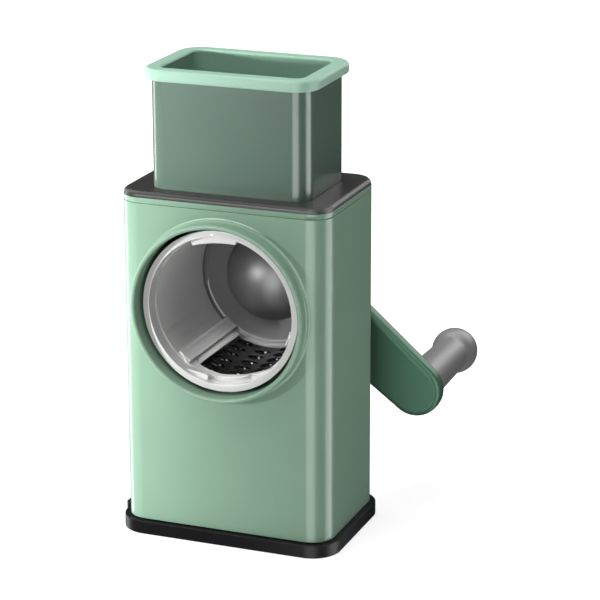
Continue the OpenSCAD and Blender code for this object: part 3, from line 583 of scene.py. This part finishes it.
bpy.ops.object.transform_apply(location=True, rotation=True, scale=True)
for side in (arm_front, arm_back):
    round_over(arm, arm_edge, 8, lambda a, b: abs(a.y - side) < near and abs(b.y - side) < near)
soft = 0.0008
hub = turned("crank_hub", axis, [(on_axis, hub_front), (hub_r - soft, hub_front)]
             + [(r, hub_front + soft - y) for r, y in bend((hub_r - soft, 0), soft, 90, 0, 5)]
             + [(r, hub_back - soft + y) for r, y in bend((hub_r - soft, 0), soft, 0, 90, 5)]
             + [(on_axis, hub_back)], steps=96)
work_with(arm, hub, "UNION")
recess = turned("cap_recess", axis, [(on_axis, recess_floor), (recess_r, recess_floor), (recess_r, recess_past),
                                     (on_axis, recess_past)], steps=64)
work_with(arm, recess, "DIFFERENCE")
drop = math.atan2(axis_z - knob_z, knob_x)
bpy.ops.object.select_all(action="DESELECT")
bpy.ops.mesh.primitive_cube_add(size=1, location=(0, square_mid, axis_z), scale=(square, square_deep, square),
                                rotation=(0, drop, 0))
square_hole = bpy.context.object
bpy.ops.object.transform_apply(location=True, rotation=True, scale=True)
work_with(arm, square_hole, "DIFFERENCE")
polish(arm)
pine = moulded_plastic("deep_green_plastic", (0.045, 0.092, 0.056), rough=0.36, specular=0.28)
pine.node_tree.nodes["Principled BSDF"].inputs["Specular Tint"].default_value = (0.45, 1, 0.8, 1)
dress(arm, pine)
stand_in_for(arm, "crank_arm")
cap_low, cap_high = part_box("crank_cap")
cap_r, cap_edge = (cap_high.x - cap_low.x) / 2, 0.0006
crank_cap = turned("crank_screw_cap", axis, [(on_axis, cap_low.y), (cap_r, cap_low.y)]
                   + [(r, cap_high.y - cap_edge + y) for r, y in bend((cap_r - cap_edge, 0), cap_edge, 0, 90, 5)]
                   + [(on_axis, cap_high.y)], steps=64)
polish(crank_cap)
dress(crank_cap, pine)
stand_in_for(crank_cap, "crank_cap")


# ---- Turning knob ----
# A long grey grip that spins on its steel axle, moulded with a slight waist and a ball at the far end. A clip
# inside the ball's hollow keeps it on the axle.
pebble = moulded_plastic("grey_knob_plastic", (0.17, 0.168, 0.168), rough=0.42)
knob_front, knob_back = knob_box[0].y, knob_box[1].y
ball_r = (knob_box[1].x - knob_box[0].x) / 2
root_r, neck_r, root_edge, neck_fillet = 0.0104, 0.0096, 0.0012, 0.007
ball_y = knob_back - ball_r
neck_end = ball_y - math.sqrt((ball_r + neck_fillet) ** 2 - (neck_r + neck_fillet) ** 2)
clip_room, end_room, waist_steps = 0.0004, 0.0003, 20
clip_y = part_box("knob_clip")[0].y - clip_room
bore_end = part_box("knob_axle")[1].y + end_room
clip_room_r, bore_r = 0.0053, 0.00406
outline = [(on_axis, bore_end), (clip_room_r, bore_end), (clip_room_r, clip_y), (bore_r, clip_y),
           (bore_r, knob_front)]
outline += [(r, knob_front + root_edge - y) for r, y in bend((root_r - root_edge, 0), root_edge, 90, 0, 6)]
for i in range(1, waist_steps + 1):
    share = i / waist_steps
    y = knob_front + root_edge + (neck_end - knob_front - root_edge) * share
    outline += [(root_r + (neck_r - root_r) * (0.5 - 0.5 * math.cos(math.pi * share)), y)]
meet_deg = math.degrees(math.atan2(ball_y - neck_end, neck_r + neck_fillet))
outline += bend((neck_r + neck_fillet, neck_end), neck_fillet, 180, 180 - meet_deg, 8)[1:]
outline += bend((0, ball_y), ball_r, -meet_deg, 90, 28)[1:-1] + [(on_axis, knob_back)]
knob = turned("turning_knob", (knob_x, knob_z), outline, steps=96)
polish(knob, angle=45)
dress(knob, pebble)
stand_in_for(knob, "handle_knob")


# ---- Drum: front ring and cage ----
# The ring is pressed on the cage's front and has two lips for the fingers inside its bore. Both are moulded in
# light grey plastic, the ring polished, the cage with three ribs and two windows. Its back plate round the dome is
# painted darker grey: painted shade for the dark deep in the drum.
pale = moulded_plastic("pale_grey_plastic", (0.54, 0.54, 0.535), rough=0.24, coat=0.3, coat_rough=0.12)
front_ring = softened("drum_front_ring", edge=0.0005, steps=3, limit=60)
ring_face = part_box("drum_front_ring")[0].y
line_r, line_half, line_deep, line_out = 0.0392, 0.00025, 0.0003, 0.0002
line_start = (line_r - line_half, ring_face - line_out)
line = turned("ring_line", axis, [line_start, (line_r + line_half, ring_face - line_out),
                                  (line_r, ring_face + line_deep), line_start])
work_with(front_ring, line, "DIFFERENCE")
polish(front_ring)
dress(front_ring, pale)
ash = moulded_plastic("ash_grey_plastic", (0.62, 0.62, 0.615), rough=0.36, coat=0.2, coat_rough=0.18)
# A darker grey for the cage's back plate: painted shade for the dark deep inside the drum.
plate_painted_shade = moulded_plastic("grey_plastic_painted_shade", (0.15, 0.15, 0.15), rough=0.4, coat=0.2, coat_rough=0.2)
cage = softened("drum_cage", edge=0.0003)
dress(cage, ash, plate_painted_shade)
plate_y, plate_reach, plate_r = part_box("drum_dome")[1].y, 0.004, 0.0367
# The back plate's faces round the dome, turned to the mouth, take the darker grey: painted shade.
for face in cage.data.polygons:
    off_axis = math.hypot(face.center.x, face.center.z - axis_z)
    if face.center.y > plate_y - plate_reach and face.normal.y < -0.1 and off_axis < plate_r:
        face.material_index = 1


# ---- Drum dome and drive socket ----
# A round dark dome is snapped on the back plate inside the drum, so that food doesn't lodge round the socket
# under it. The socket is a steel block with a square hole, held by three screws.
dome_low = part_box("drum_dome")[0]
dome_rim, dome_h, dome_t = -dome_low.x, plate_y - dome_low.y, 0.0022
ball = (dome_rim ** 2 + dome_h ** 2) / (2 * dome_h)
ball_at = dome_low.y + ball
outer_end = math.degrees(math.asin((plate_y - ball_at) / ball))
inner_end = math.degrees(math.asin((plate_y - ball_at) / (ball - dome_t)))
dome = turned("socket_dome", axis, [(on_axis, dome_low.y)]
              + bend((0, ball_at), ball, -90, outer_end, 40)[1:]
              + bend((0, ball_at), ball - dome_t, inner_end, -90, 30)[:-1] + [(on_axis, dome_low.y + dome_t)],
              steps=128)
polish(dome)
slate = moulded_plastic("slate_grey_plastic", (0.12, 0.12, 0.122), rough=0.44, specular=0.9)
dress(dome, slate)
stand_in_for(dome, "drum_dome")
dress(softened("drive_socket", edge=0.0003), zinc)
socket_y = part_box("drum_cage")[1].y
bolt_r = 0.0101
socket_screw = cross_screw("socket_screw", (0, socket_y, axis_z + bolt_r), head_r=0.002, head_h=0.0012,
                           shank_r=0.0011, end_y=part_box("socket_screws")[0].y)
socket_set = set_of("socket_screw_set", socket_screw,
                    [(bolt_r * math.cos(math.radians(a)), 0, bolt_r * (math.sin(math.radians(a)) - 1))
                     for a in (210, 330)])
dress(socket_set, zinc)
stand_in_for(socket_set, "socket_screws")


# ---- Grater sheets ----
# Two curved sheets of thin steel, riveted over the windows of the cage, painted near black: painted shade for the
# dark at the bottom of the drum. Staggered rows of teeth are pressed outwards, each a scoop with its cutting edge
# over a round hole at one end. The scoops are painted near white inside: painted glints.
sheet_r, sheet_t, tooth_out = 0.0383, 0.0008, 0.001
sheet_front, sheet_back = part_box("grater_panel_lower")[0].y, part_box("grater_panel_lower")[1].y
sheet_mid = sheet_r + sheet_t / 2
tooth_in_deg, tooth_in = 15.5, 0.0049
scoop_half, scoop_wide, scoop_wall = 0.0039, 0.0025, 0.0004
scoop_deg, hole_deg, hole_r = -0.6, 4.8, 0.0018
rivet_in_deg, rivet_in, rivet_r = 4.4, 0.004, 0.00112
peg_depth, spin_steps, inside_skin = 0.006, 56, 0.00004
lower_span, upper_span = (234.5, 337), (343, 454)


def around(angle, radius, y):
    """A place round the drum's axis, by its angle seen from the front."""
    return (radius * math.cos(math.radians(angle)), y, axis_z + radius * math.sin(math.radians(angle)))


def tool_set(name, places, shape, spread=(1, 1, 1), **sizes):
    """One tool pointing out from the drum's axis, made once and copied to each place, all joined."""
    (angle, y), rest = places[0], places[1:]
    bpy.ops.object.select_all(action="DESELECT")
    shape(location=around(angle, sheet_mid, y), rotation=(0, math.radians(90 - angle), 0), **sizes)
    first = bpy.context.object
    first.scale = spread
    bpy.ops.object.transform_apply(location=True, rotation=True, scale=True)
    group = [first]
    for other, depth in rest:
        take_up(first)
        bpy.ops.object.duplicate()
        bpy.ops.transform.rotate(value=math.radians(other - angle), orient_axis="Y", center_override=(0, 0, axis_z))
        bpy.ops.transform.translate(value=(0, depth - y, 0))
        bpy.ops.object.transform_apply(location=True, rotation=True, scale=True)
        group.append(bpy.context.object)
    for piece in group:
        piece.select_set(True)
    bpy.context.view_layer.objects.active = first
    bpy.ops.object.join()
    first.name = name
    return first


# The sheet's near-black colour is painted shade, for the dark at the bottom of the drum.
sheet_painted_shade = turned_steel("steel_painted_shade_dark", (0.030, 0.030, 0.032), rough=0.25, relief_depth=0.00003)
# The scoops' near-white colour is a painted glint, for the light they catch inside the drum.
scoop_painted_glint = turned_steel("pressed_steel_painted_glint", (0.93, 0.93, 0.93), rough=0.3, metal=0.1)
for node, (start, end) in (("grater_panel_lower", lower_span), ("grater_panel_upper", upper_span)):
    bpy.ops.object.select_all(action="DESELECT")
    bpy.ops.mesh.primitive_plane_add(size=1, location=around(start, sheet_mid, (sheet_front + sheet_back) / 2),
                                     rotation=(0, math.radians(-start), 0))
    sheet = bpy.context.object
    sheet.name = node + "_finished"
    sheet.scale = (sheet_t, sheet_back - sheet_front, 1)
    bpy.ops.object.transform_apply(location=True, rotation=True, scale=True)
    bpy.ops.object.mode_set(mode="EDIT")
    bpy.ops.mesh.select_all(action="SELECT")
    bpy.ops.mesh.spin(steps=spin_steps, angle=math.radians(end - start), center=(0, 0, axis_z), axis=(0, 1, 0))
    bpy.ops.mesh.select_all(action="SELECT")
    bpy.ops.mesh.normals_make_consistent(inside=False)
    bpy.ops.object.mode_set(mode="OBJECT")
    pitch = (end - start - 2 * tooth_in_deg) / 4
    row = (sheet_back - sheet_front - 2 * tooth_in) / 5
    teeth = [(start + tooth_in_deg + i * pitch, sheet_back - tooth_in - (j + (i % 2) / 2) * row)
             for i in range(5) for j in range(6 - i % 2)]
    scoops = [(a + scoop_deg, y) for a, y in teeth]
    dot = bpy.ops.mesh.primitive_uv_sphere_add
    peg = bpy.ops.mesh.primitive_cylinder_add
    for name, wall, way in (("scoop_outside", 0, "UNION"), ("scoop_hollow", scoop_wall, "DIFFERENCE")):
        work_with(sheet, tool_set(name, scoops, dot, (scoop_half - wall, scoop_wide - wall,
                                                       sheet_t / 2 + tooth_out - wall),
                                  segments=20, ring_count=12, radius=1), way)
    work_with(sheet, tool_set("tooth_holes", [(a + hole_deg, y) for a, y in teeth], peg, vertices=24, radius=hole_r,
                              depth=peg_depth), "DIFFERENCE")
    rivets = [(a, y) for a in (start + rivet_in_deg, end - rivet_in_deg)
              for y in (sheet_back - rivet_in, sheet_front + rivet_in)]
    work_with(sheet, tool_set("rivet_holes", rivets, peg, vertices=24, radius=rivet_r, depth=peg_depth), "DIFFERENCE")
    polish(sheet)
    dress(sheet, sheet_painted_shade, scoop_painted_glint)
    # The scoop faces turned towards the drum's axis take the near-white paint: painted glints.
    for face in sheet.data.polygons:
        out = (face.center - Vector((0, face.center.y, axis_z))).normalized()
        away = math.hypot(face.center.x, face.center.z - axis_z) - sheet_r
        if away > inside_skin and face.normal.dot(out) < -0.2:
            face.material_index = 1
    stand_in_for(sheet, node)
dress(softened("panel_rivets", edge=0.0003), zinc)


# ---- Floor and lights ----
# A plain white table under a broad bright ceiling. Two far spots at the left are the main light, and a soft one
# fills the front. A fine beam reaches the sheet in the drum, and the panels and strips only give highlights.
bpy.ops.object.select_all(action="DESELECT")
bpy.ops.mesh.primitive_plane_add(size=8, location=(0, 0, 0))
floor = bpy.context.object
floor.name = "studio_floor"
paper = moulded_plastic("pale_paper", (0.35, 0.35, 0.35), rough=0.9, shift=0.002, grain=0.000001, specular=0.0)
paper.node_tree.nodes["Principled BSDF"].inputs["Emission Color"].default_value = (1, 1, 1, 1)
paper.node_tree.nodes["Principled BSDF"].inputs["Emission Strength"].default_value = 0.72
dress(floor, paper)
floor.visible_glossy = False


def soft_light(name, place, aim, width, height, power, matt=True, gloss=True):
    """A soft light of the given size, in metres, turned towards a point."""
    light = bpy.data.lights.new(name, "AREA")
    light.shape = "RECTANGLE"
    light.size, light.size_y = width, height
    light.energy = power
    lamp = bpy.data.objects.new(name, light)
    bpy.context.collection.objects.link(lamp)
    lamp.location = place
    lamp.rotation_euler = (Vector(aim) - Vector(place)).to_track_quat("-Z", "Y").to_euler()
    lamp.visible_camera = False
    lamp.visible_diffuse, lamp.visible_glossy = matt, gloss


def spot_light(name, place, aim, cone, size, power):
    """A round beam with a soft edge, turned towards a point, that leaves no highlight. The cone is in degrees."""
    beam = bpy.data.lights.new(name, "SPOT")
    beam.spot_size, beam.spot_blend = math.radians(cone), 1
    beam.shadow_soft_size = size
    beam.energy = power
    lamp = bpy.data.objects.new(name, beam)
    bpy.context.collection.objects.link(lamp)
    lamp.location = place
    lamp.rotation_euler = (Vector(aim) - Vector(place)).to_track_quat("-Z", "Y").to_euler()
    lamp.visible_glossy = False


key_place = (-0.7, -0.75, 0.25)
spot_light("key_low", key_place, (-0.473, 0.224, 0.03), cone=68, size=0.06, power=240)
spot_light("key_high", key_place, (-0.473, 0.224, 0.21), cone=68, size=0.06, power=240)
spot_light("sheet_beam", (0.03, -0.35, 0.4), (0.002, 0.002, 0.084), cone=7, size=0.01, power=16)
soft_light("fill_front", (0.05, -0.5, 0.42), (0, -0.04, 0.12), width=0.25, height=0.25, power=0.4, gloss=False)
soft_light("gleam", (-0.19, -0.43, 0.23), (0, 0.02, 0.122), width=0.26, height=0.09, power=2.6, matt=False)
right_corner, left_corner = (0.0434, -0.0246), (-0.0434, -0.0246)
strip_far, strip_z, strip_tall = 0.1, 0.1, 0.4
for name, corner, bearing, width, power in (("strip_front", right_corner, 12, 0.07, 0.75),
                                            ("strip_right", right_corner, 103, 0.07, 0.75),
                                            ("strip_left", left_corner, -100, 0.03, 0.3)):
    x = corner[0] + strip_far * math.sin(math.radians(bearing))
    y = corner[1] - strip_far * math.cos(math.radians(bearing))
    soft_light(name, (x, y, strip_z), (corner[0], corner[1], strip_z), width, strip_tall, power, matt=False)
soft_light("back_panel", (0.27, 0.49, 0.4), (0.07, 0.09, 0.08), width=0.45, height=0.45, power=2.4, matt=False)
world = bpy.data.worlds.new("studio")
bpy.context.scene.world = world
world.use_nodes = True
tree = world.node_tree
sky = tree.nodes["Background"]
way = tree.nodes.new("ShaderNodeTexCoord")
towards = tree.nodes.new("ShaderNodeVectorMath")
towards.operation = "DOT_PRODUCT"
tree.links.new(way.outputs["Generated"], towards.inputs[0])
towards.inputs[1].default_value = Vector((-0.2, 0, 0.98)).normalized()
ceiling = tree.nodes.new("ShaderNodeMapRange")
ceiling.interpolation_type = "SMOOTHSTEP"
ceiling.inputs["From Min"].default_value = 0.76
ceiling.inputs["From Max"].default_value = 0.95
ceiling.inputs["To Min"].default_value = 0.02
ceiling.inputs["To Max"].default_value = 5
tree.links.new(towards.outputs["Value"], ceiling.inputs["Value"])
tree.links.new(ceiling.outputs["Result"], sky.inputs["Strength"])
sky.inputs["Color"].default_value = (1, 1, 1, 1)
backdrop = tree.nodes.new("ShaderNodeBackground")
backdrop.inputs["Color"].default_value = (1, 1, 1, 1)
eye = tree.nodes.new("ShaderNodeLightPath")
choice = tree.nodes.new("ShaderNodeMixShader")
tree.links.new(eye.outputs["Is Camera Ray"], choice.inputs["Fac"])
tree.links.new(sky.outputs["Background"], choice.inputs[1])
tree.links.new(backdrop.outputs["Background"], choice.inputs[2])
tree.links.new(choice.outputs["Shader"], tree.nodes["World Output"].inputs["Surface"])
bpy.context.scene.view_settings.view_transform = "Standard"
